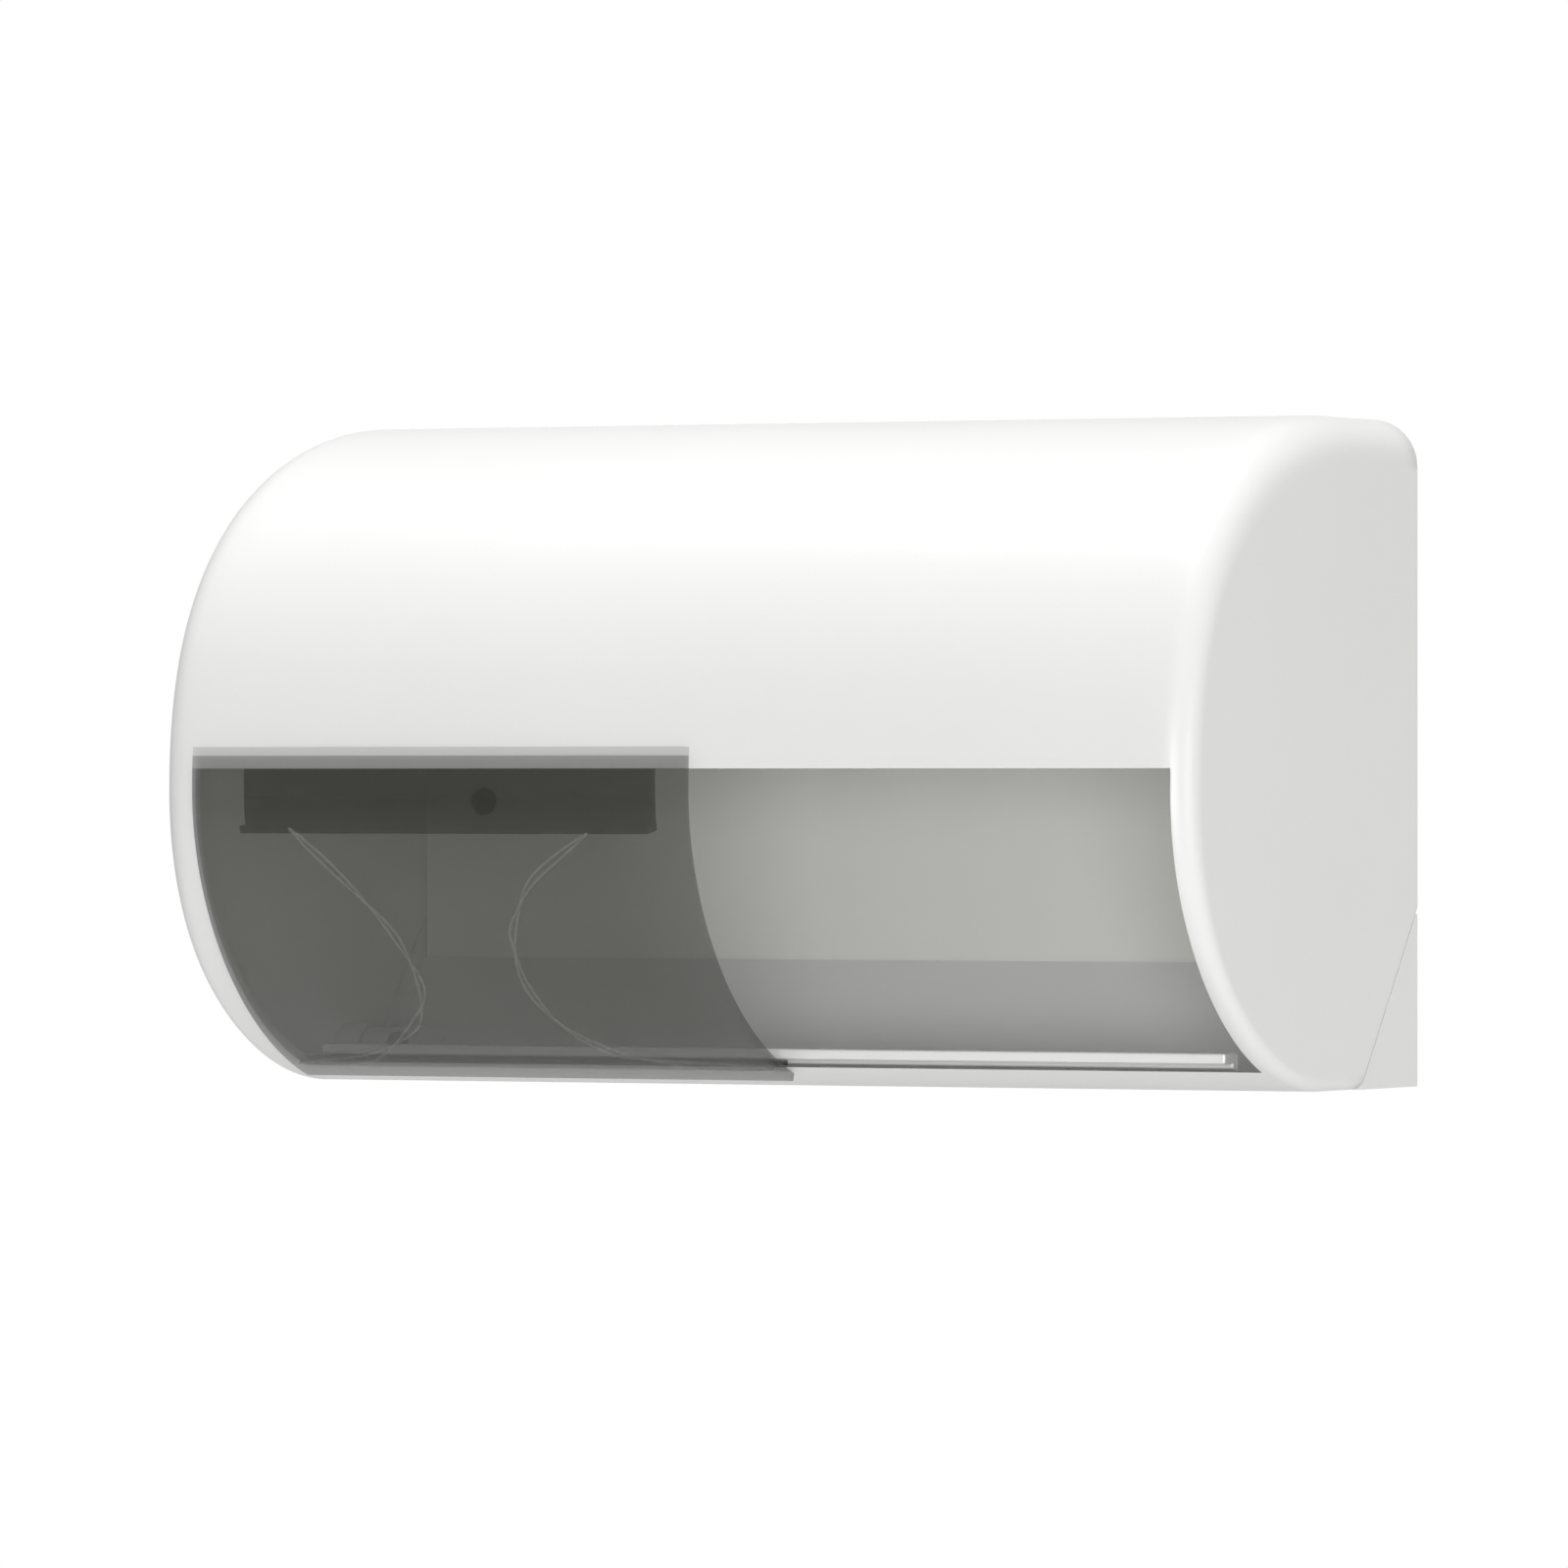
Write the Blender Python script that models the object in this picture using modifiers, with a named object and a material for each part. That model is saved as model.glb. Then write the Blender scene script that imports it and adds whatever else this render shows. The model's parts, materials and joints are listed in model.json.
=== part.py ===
# Twin-roll tissue dispenser for a wall: a D-shaped white hood that drops open on a hinge along
# its lower back edge, a smoked shutter that slides over one half of the front opening, and two
# free-running roll spindles on a centre bracket.
# Metres, +Z up, +X along the dispenser, the wall is the plane Y = 0 and the front faces -Y.
# Heights in this file count from the underside; the rig empty puts the origin on the wall face.
import bpy
import bmesh
from math import radians, sin, cos, pi, hypot
from mathutils import Matrix, Vector

# ---------- driving dimensions ----------
BODY_WIDTH = 0.280          # end face to end face
BODY_DEPTH = 0.140          # wall to the frontmost line of the hood
BODY_HEIGHT = 0.166         # underside to top
MOUNT_HEIGHT = 0.095        # height of the origin above the underside

TOP_FLAT = 0.034            # depth of the flat top, from the wall
BOTTOM_FLAT = 0.0568        # depth of the flat underside, from the wall
FRONT_LINE = 0.0732         # height of the frontmost line
TOP_SQUARENESS = 2.22       # exponents of the two quarter curves (2 is an ellipse)
BOTTOM_SQUARENESS = 1.89
HOOD_WALL = 0.0025
END_ROUND_TOP = 0.012       # rounding between skin and end wall: over the top, at the front,
END_ROUND_FRONT = 0.0073    # under the front and at the seam
END_ROUND_UNDER = 0.0035
END_ROUND_SEAM = 0.0032

SEAM_FOOT = 0.0357          # the hood ends on a sloping seam: depth at the underside
SEAM_TOP = 0.044            # and height at the wall
SEAM_GAP = 0.0006

OPENING_TOP = 0.0790        # front opening: its upper and lower edge heights
OPENING_FOOT = 0.0052
OPENING_LEFT = 0.0105       # what is left of the front skin at each end
OPENING_RIGHT = 0.005

FIT = 0.0003                # gap between pieces that touch
EASE = 0.0005               # gap between pieces that slide or swing past each other

PLATE = 0.003               # wall plate thickness
PLATE_SIDE_GAP = 0.0007
BASE_WALL = 0.0025          # hinge base wall
BASE_RECESS = 0.006         # its sloping face lies this far behind the seam
CHEEK = 0.0028

HINGE_DEPTH = 0.046         # hinge axis, from the wall and above the underside
HINGE_HEIGHT = 0.008
PIN_RADIUS = 0.0025
EAR_RADIUS = 0.005
EAR_WIDTH = 0.007
BOSS_RADIUS = 0.006
BOSS_LENGTH = 0.0065

SHUTTER_WALL = 0.002
SHUTTER_GAP = 0.0004        # shutter runs this far off the hood
SHUTTER_LAP = 0.0073        # past the middle of the dispenser
SHUTTER_END = 0.0108        # closed shutter's outer edge, from the end face
SHUTTER_TOP = 0.0842
SHUTTER_FOOT = 0.0040
RETAINER_FOOT = 0.0630      # hook piece behind the upper edge of the opening
RETAINER_TOP = 0.0858
RETAINER_WALL = 0.0018
RETAINER_INSET = 0.0117     # from the shutter's two ends
RUNNER_WALL = 0.0012

RAIL_TOP = 0.0097           # lower rail: lip over the slot that the runner slides in
RAIL_LIP = 0.0026
RAIL_LIP_DEPTH = 0.0835
RAIL_POST_DEPTH = 0.0786
RAIL_POST = 0.0034
RAIL_INSET = 0.0155         # from the end face

AXLE_DEPTH = 0.068          # roll axle, from the wall
AXLE_DROP = 0.065           # below the top
AXLE_RADIUS = 0.004
SPINDLE_RADIUS = 0.017
SPINDLE_LENGTH = 0.104
SPINDLE_WALL = 0.0024
BUSH_WALL = 0.0018
BRACKET_WALL = 0.006
BRACKET_BOSS = 0.011
WASHER = 0.0010
CLIP = 0.0010

LOCK_DEPTH = 0.030          # lock axis, from the wall
LOCK_RADIUS = 0.0077
LOCK_FLANGE = 0.0105
LOCK_SEAT = 0.0014          # the flange lies in a seat this deep and ends flush with the top
BARREL_RADIUS = 0.0052
LOCK_DROP = 0.016           # lock body below the outside of the top
CAM_WALL = 0.002
HOOK_REACH = 0.016          # lock axis to strike post
POST_RADIUS = 0.0025
STRIKE_DROP = 0.020         # flange of the strike bracket, down the wall plate
HOOK_WALL = 0.003

HOLE_X = 0.0200             # wall screw holes: from the end face,
HOLE_LOW = 0.0707           # the lower pair's height and the upper pair's drop from the top
HOLE_TOP_DROP = 0.026
HOLE_RADIUS = 0.0028
SCREW_RADIUS = 0.0017
SCREW_HEAD = 0.0034
BASE_SCREW_X = 0.060
BASE_SCREW_Z = 0.015
POST_OUTER = 0.0045         # screw posts inside the hinge base

ROUND = 32                  # sides of round pieces

# ---------- derived sizes ----------
HALF = BODY_WIDTH / 2
AXLE_HEIGHT = BODY_HEIGHT - AXLE_DROP
HOLE_HIGH = BODY_HEIGHT - HOLE_TOP_DROP
TRAVEL_EDGE = HALF - SHUTTER_END
SEAM_SLOPE = hypot(SEAM_FOOT, SEAM_TOP) / SEAM_TOP      # horizontal share of a step off the seam


# ---------- helpers ----------
def clear_scene():
    for old in list(bpy.data.objects):
        bpy.data.objects.remove(old, do_unlink=True)


def new_collection(name):
    made = bpy.data.collections.new(name)
    bpy.context.scene.collection.children.link(made)
    return made


def material(name, color, roughness, metallic=0.0, alpha=1.0):
    made = bpy.data.materials.new(name)
    made.use_nodes = True
    shader = made.node_tree.nodes["Principled BSDF"]
    shader.inputs["Base Color"].default_value = (*color, 1.0)
    shader.inputs["Roughness"].default_value = roughness
    shader.inputs["Metallic"].default_value = metallic
    shader.inputs["Alpha"].default_value = alpha
    made.diffuse_color = (*color, alpha)
    return made


def add_mesh(name, bm):
    """Turn a bmesh into an object under the rig empty, faces out and smooth where round."""
    bmesh.ops.recalc_face_normals(bm, faces=bm.faces)
    mesh = bpy.data.meshes.new(name)
    bm.to_mesh(mesh)
    bm.free()
    mesh.shade_smooth()
    mesh.set_sharp_from_angle(angle=radians(35))
    made = bpy.data.objects.new(name, mesh)
    made.parent = rig
    return made


def as_part(made, finish):
    made.data.materials.append(finish)
    parts.objects.link(made)
    return made


def as_cutter(made):
    cutters.objects.link(made)
    made.hide_render = True
    made.display_type = "WIRE"
    return made


def box(name, low, high):
    bm = bmesh.new()
    low, high = Vector(low), Vector(high)
    place = Matrix.Translation((low + high) / 2) @ Matrix.Diagonal((*(high - low), 1.0))
    bmesh.ops.create_cube(bm, size=1.0, matrix=place)
    return add_mesh(name, bm)


AIM = {"X": Matrix.Rotation(pi / 2, 4, "Y"), "Y": Matrix.Rotation(-pi / 2, 4, "X"), "Z": Matrix()}


def rod(name, radius, start, length, axis="X", sides=ROUND):
    """Cylinder from start along +axis."""
    bm = bmesh.new()
    place = Matrix.Translation(start) @ AIM[axis] @ Matrix.Translation((0, 0, length / 2))
    bmesh.ops.create_cone(bm, cap_ends=True, segments=sides, radius1=radius, radius2=radius,
                          depth=length, matrix=place)
    return add_mesh(name, bm)


# local X and Y of a flat outline, laid into the side view (Y, Z), front view (X, Z) or plan (X, Y)
SIDE_VIEW = Matrix(((0, 0, 1, 0), (1, 0, 0, 0), (0, 1, 0, 0), (0, 0, 0, 1)))
FRONT_VIEW = Matrix(((1, 0, 0, 0), (0, 0, -1, 0), (0, 1, 0, 0), (0, 0, 0, 1)))
PLAN_VIEW = Matrix()


def extruded(name, outline, low, high, view=SIDE_VIEW):
    """Flat outline extruded square to its view, between low and high on the third axis."""
    curve = bpy.data.curves.new(name, "CURVE")
    curve.dimensions = "2D"
    curve.fill_mode = "BOTH"
    curve.extrude = (high - low) / 2
    spline = curve.splines.new("POLY")
    spline.points.add(len(outline) - 1)
    for point, (across, up) in zip(spline.points, outline):
        point.co = (across, up, 0.0, 1.0)
    spline.use_cyclic_u = True
    shape = bpy.data.objects.new(name + "_outline", curve)
    parts.objects.link(shape)
    normal = view.to_3x3() @ Vector((0, 0, 1))
    shape.matrix_world = Matrix.Translation((low + high) / 2 * Vector(abs(n) for n in normal)) @ view
    bpy.context.view_layer.update()
    solid = bpy.data.meshes.new_from_object(shape.evaluated_get(bpy.context.evaluated_depsgraph_get()))
    bm = bmesh.new()
    bm.from_mesh(solid)
    bm.transform(shape.matrix_world)
    bmesh.ops.remove_doubles(bm, verts=bm.verts, dist=0.000005)
    bmesh.ops.dissolve_limit(bm, angle_limit=radians(0.05), verts=bm.verts, edges=bm.edges)
    bpy.data.meshes.remove(solid)
    bpy.data.objects.remove(shape, do_unlink=True)
    bpy.data.curves.remove(curve)
    return add_mesh(name, bm)


def turned(name, profile, start, axis="X", closed=True, sides=ROUND):
    """Profile of (radius, height) points turned about an axis through start."""
    bm = bmesh.new()
    verts = [bm.verts.new((radius, 0, height)) for radius, height in profile]
    for first, second in zip(verts, verts[1:]):
        bm.edges.new((first, second))
    if closed:
        bm.edges.new((verts[-1], verts[0]))
    mesh = bpy.data.meshes.new(name)
    bm.to_mesh(mesh)
    bm.free()
    made = bpy.data.objects.new(name, mesh)
    made.parent = rig
    made.matrix_local = Matrix.Translation(start) @ AIM[axis]
    screw = made.modifiers.new("turn", "SCREW")
    screw.steps = sides
    screw.render_steps = sides
    screw.use_merge_vertices = True
    screw.merge_threshold = 0.00001
    screw.use_normal_calculate = False
    screw.use_smooth_shade = True
    return made


def boolean(target, tool, operation="DIFFERENCE"):
    step = target.modifiers.new(operation.lower(), "BOOLEAN")
    step.operation = operation
    step.solver = "EXACT"
    step.object = tool
    return target


def drill(target, name, radius, start, length, axis="X", sides=ROUND):
    return boolean(target, as_cutter(rod(name, radius, start, length, axis, sides)))


def join_on(target, tool):
    return boolean(target, as_cutter(tool), "UNION")


def soften(target, width, segments=1, angle=40):
    step = target.modifiers.new("edge", "BEVEL")
    step.width = width
    step.segments = segments
    step.limit_method = "ANGLE"
    step.angle_limit = radians(angle)
    return target


# ---------- the hood's outline ----------
def curve_point(turn, upper):
    """Point and outward normal (Y, Z) on the upper or lower quarter, turn 0..1 from the front."""
    flat = TOP_FLAT if upper else BOTTOM_FLAT
    power = TOP_SQUARENESS if upper else BOTTOM_SQUARENESS
    reach = BODY_DEPTH - flat
    rise = BODY_HEIGHT - FRONT_LINE if upper else FRONT_LINE
    up = 1 if upper else -1
    share = (cos(turn * pi / 2) ** (2 / power), sin(turn * pi / 2) ** (2 / power))
    point = Vector((-flat - reach * share[0], FRONT_LINE + up * rise * share[1]))
    normal = Vector((-share[0] ** (power - 1) / reach, up * share[1] ** (power - 1) / rise))
    return point, normal.normalized()


def skin_at(height, offset=0.0):
    """Point of the curved front at a height, moved outward by offset."""
    upper = height >= FRONT_LINE
    rise = BODY_HEIGHT - FRONT_LINE if upper else FRONT_LINE
    power = TOP_SQUARENESS if upper else BOTTOM_SQUARENESS
    share = abs(height - FRONT_LINE) / rise
    low, high = 0.0, 1.0
    for _ in range(40):
        middle = (low + high) / 2
        if sin(middle * pi / 2) ** (2 / power) < share:
            low = middle
        else:
            high = middle
    point, normal = curve_point(low, upper)
    return point + normal * offset


def skin_band(top, foot, offset, steps):
    """Points down the curved front between two heights, at an offset from the skin."""
    spread = [top + (foot - top) * (1 - cos(pi * step / steps)) / 2 for step in range(steps + 1)]
    return [tuple(skin_at(height, offset)) for height in spread]


def seam_depth(height, recess=0.0):
    """Depth (as -Y) of the sloping seam at a height, or of a face behind it."""
    return -SEAM_FOOT * (1 - height / SEAM_TOP) + recess * SEAM_SLOPE


def blend(start, end, share):
    share = min(max(share, 0.0), 1.0)
    return start + (end - start) * (3 - 2 * share) * share * share


# ---------- hood ----------
def hood_rows(arc_steps=14):
    """Outline from the wall over the top, front and underside: point, normal, end rounding."""
    rows = [(Vector((0, BODY_HEIGHT)), Vector((0, 1)), END_ROUND_TOP)]
    for step in range(arc_steps, -1, -1):
        point, normal = curve_point(step / arc_steps, True)
        rows.append((point, normal, blend(END_ROUND_FRONT, END_ROUND_TOP, step / arc_steps * 1.4 - 0.3)))
    for step in range(1, arc_steps + 1):
        share = step / arc_steps
        point, normal = curve_point(share, False)
        width = blend(END_ROUND_FRONT, END_ROUND_UNDER, share * 2)
        rows.append((point, normal, blend(width, END_ROUND_SEAM, share * 2 - 1)))
    foot = Vector((seam_depth(0) - SEAM_GAP * SEAM_SLOPE, 0))
    rows.append((foot, Vector((0, -1)), END_ROUND_SEAM))
    return rows


def make_hood(finish):
    """Open shell lofted along the outline, because its end rounding changes on the way."""
    bm = bmesh.new()
    round_steps = 5
    grid = []
    rows = hood_rows()
    for number, (point, normal, width) in enumerate(rows):
        half_row = []
        for step in range(round_steps + 1):
            turn = step / round_steps * pi / 2
            inset = point - normal * width * (1 - sin(turn))
            half_row.append((HALF - width * (1 - cos(turn)), inset))
        row = [(-x, at) for x, at in half_row] + [(x, at) for x, at in reversed(half_row)]
        if number == len(rows) - 1:
            row = [(x, Vector((seam_depth(at.y) - SEAM_GAP * SEAM_SLOPE, at.y))) for x, at in row]
        grid.append([bm.verts.new((x, at.x, at.y)) for x, at in row])
    for upper, lower in zip(grid, grid[1:]):
        for column in range(len(upper) - 1):
            bm.faces.new((upper[column], upper[column + 1], lower[column + 1], lower[column]))
    for column, side in ((0, -1), (-1, 1)):
        heel = SEAM_TOP + SEAM_GAP * SEAM_SLOPE * SEAM_TOP / SEAM_FOOT
        bm.faces.new([row[column] for row in grid] + [bm.verts.new((side * HALF, 0, heel))])
    bmesh.ops.recalc_face_normals(bm, faces=bm.faces)
    if sum(face.normal.z * face.calc_area() for face in bm.faces if face.calc_center_median().z > 0.1) < 0:
        bmesh.ops.reverse_faces(bm, faces=bm.faces)
    mesh = bpy.data.meshes.new("hood_shell")
    bm.to_mesh(mesh)
    bm.free()
    mesh.shade_smooth()
    mesh.set_sharp_from_angle(angle=radians(35))
    hood = bpy.data.objects.new("hood_shell", mesh)
    hood.parent = rig
    as_part(hood, finish)
    wall = hood.modifiers.new("wall", "SOLIDIFY")
    wall.thickness = HOOD_WALL
    wall.offset = -1
    wall.use_even_offset = True

    boolean(hood, as_cutter(box("opening_cutter", (OPENING_LEFT - HALF, -BODY_DEPTH - 0.02, OPENING_FOOT),
                                (HALF - OPENING_RIGHT, -BOTTOM_FLAT, OPENING_TOP))))
    inner = HALF - HOOD_WALL
    for name, side in (("left", -1), ("right", 1)):
        reach = BOSS_LENGTH + HOOD_WALL / 2
        boss = rod("hinge_boss_" + name, BOSS_RADIUS, (side * (inner - BOSS_LENGTH + reach / 2) - reach / 2,
                   -HINGE_DEPTH, HINGE_HEIGHT), reach)
        join_on(hood, boss)
        hole = BOSS_LENGTH + HOOD_WALL / 4
        start = side * (inner - BOSS_LENGTH - FIT + hole / 2) - hole / 2
        drill(hood, "pin_hole_" + name, PIN_RADIUS + EASE / 2, (start, -HINGE_DEPTH, HINGE_HEIGHT), hole)
        ear = ear_span(side)
        notch_front = -HINGE_DEPTH - 0.010
        boolean(hood, as_cutter(box("ear_notch_" + name, (ear[0] - EASE, notch_front, -0.001),
                                    (ear[1] + EASE, -SEAM_FOOT + 0.004, HOOD_WALL + 0.001))))
    drill(hood, "lock_hole", LOCK_RADIUS + FIT, (0, -LOCK_DEPTH, BODY_HEIGHT - HOOD_WALL - 0.001),
          HOOD_WALL + 0.002, "Z")
    drill(hood, "lock_seat", LOCK_FLANGE + FIT, (0, -LOCK_DEPTH, BODY_HEIGHT - LOCK_SEAT), LOCK_SEAT + 0.001, "Z")
    return hood


def ear_span(side):
    """X range of the hinge base's ear, just inside the hood's boss."""
    outer = HALF - HOOD_WALL - BOSS_LENGTH - EASE
    return (outer - EAR_WIDTH, outer) if side > 0 else (-outer, -outer + EAR_WIDTH)


def make_rail(finish):
    """Lip along the foot of the opening, standing on the hood's skin."""
    post_back = -RAIL_POST_DEPTH + RAIL_POST
    lip_foot = RAIL_TOP - RAIL_LIP
    front = (-RAIL_POST_DEPTH, skin_floor(-RAIL_POST_DEPTH))
    back = (post_back, skin_floor(post_back))
    outline = [back, (post_back, RAIL_TOP), (-RAIL_LIP_DEPTH, RAIL_TOP), (-RAIL_LIP_DEPTH, lip_foot),
               (-RAIL_POST_DEPTH, lip_foot), front]
    rail = extruded("lower_rail", outline, -HALF + RAIL_INSET, HALF - RAIL_INSET)
    soften(rail, 0.0005, 2)
    return as_part(rail, finish)


def skin_floor(depth):
    """Height of the hood's inner face above the underside at a depth (as -Y), with a fit gap."""
    low, high = 0.0, 1.0
    for _ in range(40):
        middle = (low + high) / 2
        point, normal = curve_point(middle, False)
        if (point - normal * (HOOD_WALL + FIT)).x < depth:
            low = middle
        else:
            high = middle
    point, normal = curve_point(low, False)
    return (point - normal * (HOOD_WALL + FIT)).y


# ---------- lock ----------
def make_lock(plated, steel):
    top = BODY_HEIGHT
    foot = top - LOCK_DROP
    flange_top = top - FIT / 3
    flange_foot = top - LOCK_SEAT + FIT
    bore = BARREL_RADIUS + EASE / 2
    centre = (0, -LOCK_DEPTH, 0)
    housing = turned("lock_housing", [(bore, flange_top), (LOCK_FLANGE - 0.0004, flange_top),
                                      (LOCK_FLANGE, flange_top - 0.0004), (LOCK_FLANGE, flange_foot),
                                      (LOCK_RADIUS, flange_foot), (LOCK_RADIUS, foot), (bore, foot)],
                     centre, "Z")
    as_part(housing, plated)
    nut_top = top - HOOD_WALL - FIT
    nut = rod("lock_nut", LOCK_RADIUS + 0.0036, (0, -LOCK_DEPTH, nut_top - 0.004), 0.004, "Z", 6)
    drill(nut, "nut_bore", LOCK_RADIUS + FIT, (0, -LOCK_DEPTH, nut_top - 0.005), 0.006, "Z")
    as_part(nut, steel)

    cam_top = foot - EASE
    tail = 0.0028
    barrel_top = flange_top - FIT
    barrel = turned("lock_barrel", [(0, barrel_top), (BARREL_RADIUS - 0.0004, barrel_top),
                                    (BARREL_RADIUS, barrel_top - 0.0004), (BARREL_RADIUS, cam_top + FIT),
                                    (tail, cam_top + FIT), (tail, cam_top - CAM_WALL), (0, cam_top - CAM_WALL)],
                    centre, "Z", closed=False)
    boolean(barrel, as_cutter(rod("key_slot", 0.0033, (0, -LOCK_DEPTH, barrel_top - 0.005), 0.006, "Z", 3)))
    as_part(barrel, steel)

    # hook cam: a hub, an arm and an arc that turns in behind the strike post
    inner = HOOK_REACH + POST_RADIUS + EASE * 2
    outer = inner + HOOK_WALL
    hub = 0.0067
    arm_half = 0.0030
    arm_at, arc_end = radians(210), radians(150)

    def sweep(radius, start, end, steps):
        turns = [start + (end - start) * step / steps for step in range(steps + 1)]
        return [(radius * cos(turn), radius * sin(turn) - LOCK_DEPTH) for turn in turns]

    outline = sweep(outer, arc_end, arm_at, 8)
    outline += sweep(hub, arm_at + arm_half / hub, arm_at - arm_half / hub + 2 * pi, 14)
    outline += sweep(inner, arm_at - 2 * arm_half / inner, arc_end, 7)
    cam = extruded("lock_cam", outline, cam_top - CAM_WALL, cam_top, PLAN_VIEW)
    drill(cam, "cam_bore", tail + FIT, (0, -LOCK_DEPTH, cam_top - CAM_WALL - 0.001), CAM_WALL + 0.002, "Z")
    as_part(cam, steel)
    screw_top = cam_top - CAM_WALL - FIT
    screw = turned("cam_screw", [(0, screw_top), (0.0042, screw_top), (0.0042, screw_top - 0.0010),
                                 (0.0030, screw_top - 0.0022), (0, screw_top - 0.0024)],
                   centre, "Z", closed=False, sides=24)
    as_part(screw, steel)


# ---------- wall side ----------
def make_wall_plate(finish):
    half = HALF - HOOD_WALL - PLATE_SIDE_GAP
    foot = BASE_WALL + FIT
    top = BODY_HEIGHT - HOOD_WALL - PLATE_SIDE_GAP
    corner = END_ROUND_TOP - HOOD_WALL + 0.002
    arc = [pi / 2 * step / 8 for step in range(9)]
    outline = [(-half, foot), (half, foot)]
    outline += [(half - corner + corner * cos(a), top - corner + corner * sin(a)) for a in arc]
    outline += [(-x, z) for x, z in reversed(outline[2:])]
    plate = extruded("wall_plate", outline, -PLATE, 0, FRONT_VIEW)
    for name, side in (("left", -1), ("right", 1)):
        for level, height in (("low", HOLE_LOW), ("high", HOLE_HIGH)):
            drill(plate, f"wall_hole_{level}_{name}", HOLE_RADIUS + FIT,
                  (side * (HALF - HOLE_X), -PLATE - 0.001, height), PLATE + 0.002, "Y", 20)
        drill(plate, "base_screw_hole_" + name, SCREW_RADIUS + FIT,
              (side * BASE_SCREW_X, -PLATE - 0.001, BASE_SCREW_Z), PLATE + 0.002, "Y", 16)
        drill(plate, "base_screw_sink_" + name, SCREW_HEAD + FIT,
              (side * BASE_SCREW_X, -PLATE * 0.55, BASE_SCREW_Z), PLATE, "Y", 20)
        drill(plate, "bracket_screw_hole_" + name, SCREW_RADIUS + FIT,
              (side * 0.013, -PLATE - 0.001, AXLE_HEIGHT + 0.004), PLATE * 0.8 + 0.001, "Y", 16)
    for number, height in enumerate(strike_screw_heights()):
        drill(plate, f"strike_screw_hole_{number + 1}", SCREW_RADIUS + FIT, (0, -PLATE - 0.001, height),
              PLATE * 0.8 + 0.001, "Y", 16)
    return as_part(plate, finish)


def strike_screw_heights():
    shelf = strike_shelf()
    return shelf - 0.0065, shelf - 0.0145


def strike_shelf():
    """Height of the strike bracket's shelf, under the lock cam."""
    return BODY_HEIGHT - LOCK_DROP - EASE - CAM_WALL - 0.0085


def make_hinge_base(finish):
    rear = -PLATE - FIT

    def slope_height(depth, recess):
        return SEAM_TOP * (1 + (depth - recess * SEAM_SLOPE) / SEAM_FOOT)

    behind = BASE_RECESS + BASE_WALL
    channel = [(0, 0), (-SEAM_FOOT, 0), (seam_depth(BASE_WALL), BASE_WALL),
               (seam_depth(BASE_WALL, BASE_RECESS), BASE_WALL),
               (rear, slope_height(rear, BASE_RECESS)), (rear, slope_height(rear, behind)),
               (seam_depth(BASE_WALL, behind), BASE_WALL), (0, BASE_WALL)]
    base = extruded("hinge_base", channel, -HALF + CHEEK / 2, HALF - CHEEK / 2)
    blunt = 0.0012
    cheek = [(0, 0), (-SEAM_FOOT, 0), (seam_depth(SEAM_TOP - blunt), SEAM_TOP - blunt), (0, SEAM_TOP - blunt)]
    for name, side in (("left", -1), ("right", 1)):
        span = sorted((side * HALF, side * (HALF - CHEEK)))
        join_on(base, extruded("cheek_" + name, cheek, *span))
        low, high = ear_span(side)
        web = box("ear_web_" + name, (low, -HINGE_DEPTH, HINGE_HEIGHT - EAR_RADIUS),
                  (high, seam_depth(HINGE_HEIGHT + EAR_RADIUS, BASE_RECESS) + BASE_WALL / 2,
                   HINGE_HEIGHT + EAR_RADIUS))
        join_on(base, web)
        join_on(base, rod("ear_" + name, EAR_RADIUS, (low, -HINGE_DEPTH, HINGE_HEIGHT), high - low))
        drill(base, "ear_hole_" + name, PIN_RADIUS + EASE / 2,
              (low - 0.001, -HINGE_DEPTH, HINGE_HEIGHT), high - low + 0.002)
        post_end = seam_depth(BASE_SCREW_Z + POST_OUTER, BASE_RECESS + BASE_WALL / 2)
        join_on(base, rod("screw_post_" + name, POST_OUTER, (side * BASE_SCREW_X, post_end, BASE_SCREW_Z),
                          rear - post_end, "Y", 20))
        drill(base, "post_hole_" + name, SCREW_RADIUS + FIT,
              (side * BASE_SCREW_X, rear - 0.0065, BASE_SCREW_Z), 0.01, "Y", 16)
    return as_part(base, finish)


def screw(name, at, length, finish, head=0.0018):
    """Pan-head screw along Y: head towards -Y from at, shank towards the wall."""
    profile = [(0, -head), (SCREW_HEAD * 0.7, -head), (SCREW_HEAD, -head * 0.45), (SCREW_HEAD, 0),
               (SCREW_RADIUS, 0), (SCREW_RADIUS, length - 0.0008), (SCREW_RADIUS * 0.5, length), (0, length)]
    made = turned(name, list(reversed(profile)), at, "Y", closed=False, sides=20)
    return as_part(made, finish)


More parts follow.
